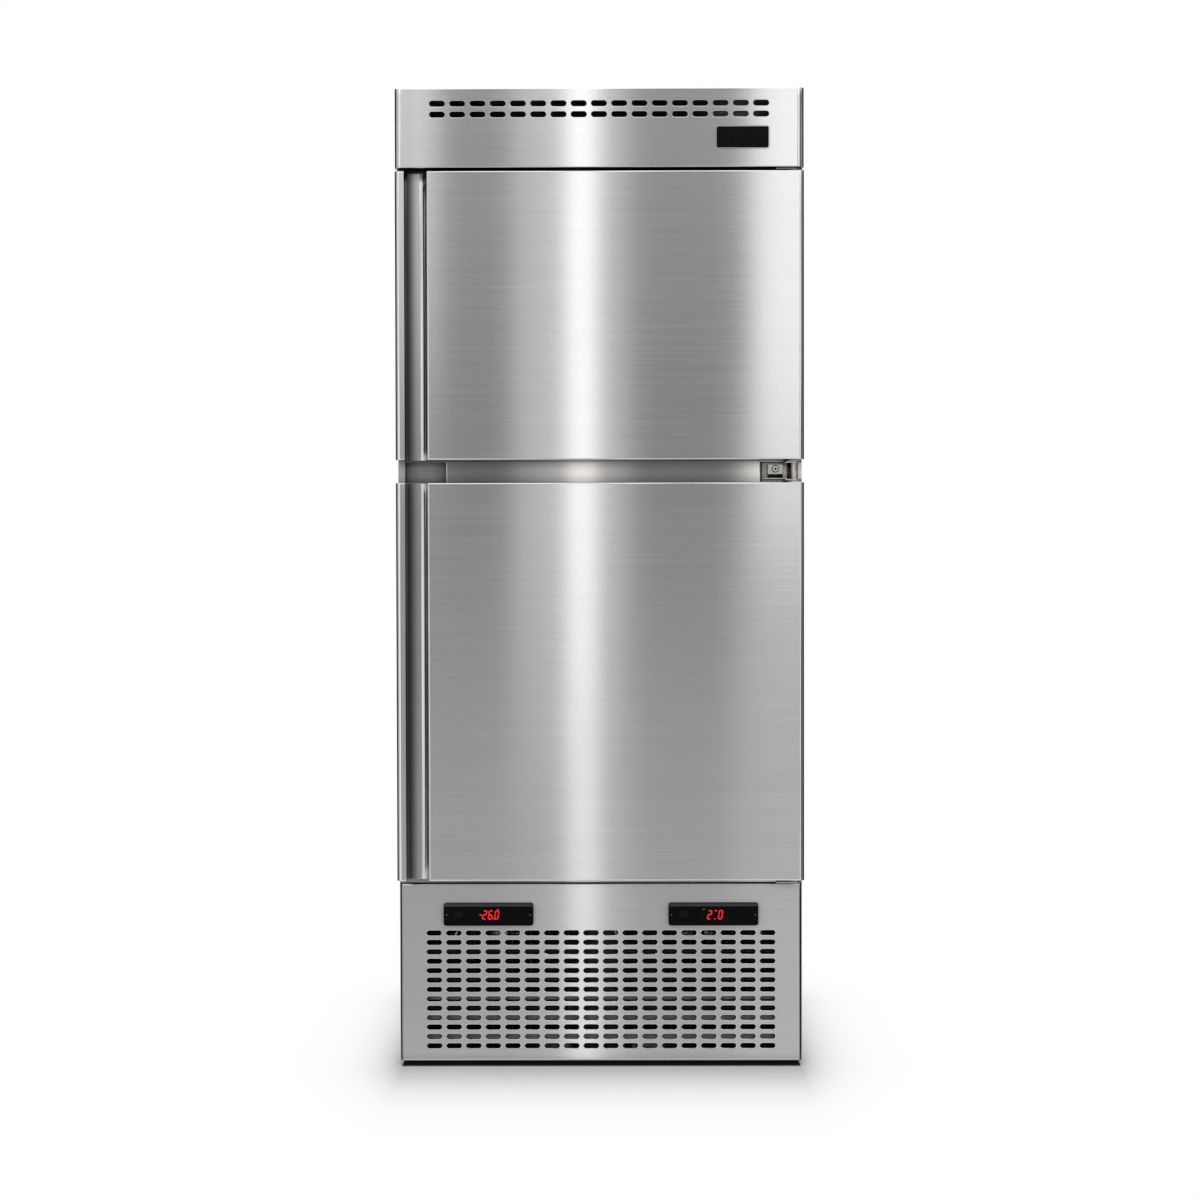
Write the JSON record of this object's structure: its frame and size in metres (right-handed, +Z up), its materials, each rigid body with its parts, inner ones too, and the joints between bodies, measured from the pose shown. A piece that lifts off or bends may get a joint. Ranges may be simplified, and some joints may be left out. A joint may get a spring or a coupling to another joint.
{
  "type": "upright refrigerator freezer",
  "caption": "Tall steel cabinet with two half doors, full-height finger channels, wire shelves, a slotted header, and a slotted base with its cooling machinery.",
  "frame": {"origin": "middle of the footprint, on the floor", "axes": "+X to the right seen from the front, +Y from the doors to the back, +Z up"},
  "size_m": [0.83, 0.8, 2],
  "materials": {
    "front_steel": "satin",
    "case_steel": "satin",
    "inner_steel": "satin",
    "galvanised_steel": "satin",
    "hinge_steel": "satin",
    "wire_steel": "polished",
    "foam": "matte",
    "seal_rubber": "matte",
    "black_rubber": "matte",
    "grey_plastic": "satin",
    "black_plastic": "gloss",
    "fan_plastic": "satin",
    "display": "gloss",
    "white_plastic": "satin",
    "black_paint": "satin",
    "fin_aluminium": "satin",
    "copper": "satin",
    "motor_metal": "satin"
  },
  "bodies": {
    "cabinet": {"insulation": "foam", "left_side_panel": "case_steel", "right_side_panel": "case_steel", "back_panel": "galvanised_steel", "roof_panel": "galvanised_steel", "floor_panel": "galvanised_steel", "front_frame": "case_steel", "upper_liner": "inner_steel", "lower_liner": "inner_steel", "thermal_breaks": "grey_plastic", "header_panel": "front_steel", "top_cover": "galvanised_steel", "top_hinge": "hinge_steel", "middle_hinge": "hinge_steel", "bottom_hinge": "hinge_steel", "case_screws": "hinge_steel", "base_pan": "galvanised_steel", "levelling_feet": "black_rubber", "base_panel": "front_steel", "rear_grille": "galvanised_steel", "controllers": "black_plastic", "display_windows": "display", "left_compressor": "black_paint", "right_compressor": "black_paint", "compressor_mounts": "black_rubber", "left_condenser": "fin_aluminium", "right_condenser": "fin_aluminium", "fan_shrouds": "galvanised_steel", "condenser_fan_motors": "motor_metal", "filter_driers": "copper", "refrigerant_pipes": "copper", "condensate_tray": "galvanised_steel", "electrical_box": "grey_plastic", "cable_gland": "black_plastic", "shelf_posts": "inner_steel", "shelf_runners": "inner_steel", "upper_shelf_1": "wire_steel", "upper_shelf_2": "wire_steel", "lower_shelf_1": "wire_steel", "lower_shelf_2": "wire_steel", "lower_shelf_3": "wire_steel", "upper_air_cover": "inner_steel", "lower_air_cover": "inner_steel", "upper_evaporator": "fin_aluminium", "lower_evaporator": "fin_aluminium", "evaporator_fan_motors": "motor_metal"},
    "upper_door": {"upper_door_skin": "front_steel", "upper_door_core": "foam", "upper_door_inner_panel": "inner_steel", "upper_door_seal": "seal_rubber", "upper_door_bushes": "white_plastic"},
    "lower_door": {"lower_door_skin": "front_steel", "lower_door_core": "foam", "lower_door_inner_panel": "inner_steel", "lower_door_seal": "seal_rubber", "lower_door_bushes": "white_plastic"},
    "left_condenser_fan": {"left_condenser_fan": "fan_plastic"},
    "right_condenser_fan": {"right_condenser_fan": "fan_plastic"},
    "upper_evaporator_fan": {"upper_evaporator_fan": "fan_plastic"},
    "lower_evaporator_fan": {"lower_evaporator_fan": "fan_plastic"}
  },
  "joints": [
    {"name": "upper_door_hinge", "type": "hinge", "parent": "cabinet", "child": "upper_door", "pos_m": [0.397, -0.374, 1.541], "axis": [0, 0, 1], "range_deg": [0, 110]},
    {"name": "lower_door_hinge", "type": "hinge", "parent": "cabinet", "child": "lower_door", "pos_m": [0.397, -0.374, 0.797], "axis": [0, 0, 1], "range_deg": [0, 110]},
    {"name": "left_condenser_fan_spin", "type": "hinge", "parent": "cabinet", "child": "left_condenser_fan", "pos_m": [-0.205, -0.2027, 0.151], "axis": [0, 1, 0], "continuous": true},
    {"name": "right_condenser_fan_spin", "type": "hinge", "parent": "cabinet", "child": "right_condenser_fan", "pos_m": [0.205, -0.2027, 0.151], "axis": [0, 1, 0], "continuous": true},
    {"name": "upper_evaporator_fan_spin", "type": "hinge", "parent": "cabinet", "child": "upper_evaporator_fan", "pos_m": [0, 0.2516, 1.665], "axis": [0, 1, 0], "continuous": true},
    {"name": "lower_evaporator_fan_spin", "type": "hinge", "parent": "cabinet", "child": "lower_evaporator_fan", "pos_m": [0, 0.2516, 1.034], "axis": [0, 1, 0], "continuous": true}
  ]
}
